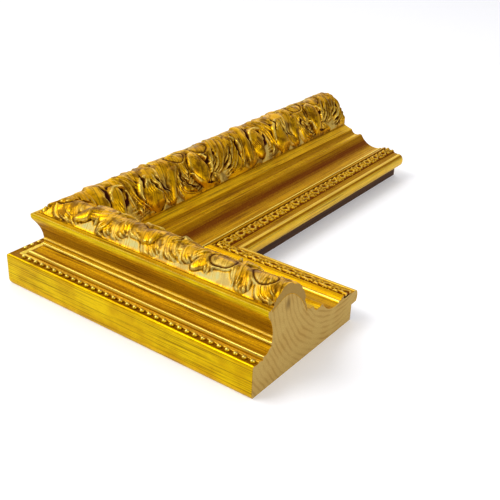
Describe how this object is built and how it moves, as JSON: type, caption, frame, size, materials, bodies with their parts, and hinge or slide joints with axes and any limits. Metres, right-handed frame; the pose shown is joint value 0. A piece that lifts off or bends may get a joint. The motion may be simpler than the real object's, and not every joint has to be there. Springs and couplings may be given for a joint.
{
  "type": "picture frame corner",
  "caption": "Mitred corner of a wide gilded picture frame moulding: raised leaf crest over a high arch, deep outer cove, bead row, inner scoop, lace band and a rabbet behind the sight edge.",
  "frame": {"origin": "middle of the footprint's bounding box, at the height of the flat back", "axes": "+X along the short rail away from the corner, +Y along the long rail away from the corner, +Z from the back to the carved face"},
  "size_m": [0.194, 0.334, 0.0596],
  "materials": {
    "gilded_pine": "gold leaf colour over a thin ground, rubbed and toned, with bare pine at the sawn ends",
    "gilded_composition": "gold leaf colour over cast composition, bright on the leaves and dark brown in the hollows"
  },
  "bodies": {
    "root": {"front_rail": "gilded_pine", "back_rail": "gilded_pine", "front_crest": "gilded_composition", "back_crest": "gilded_composition"}
  },
  "joints": []
}
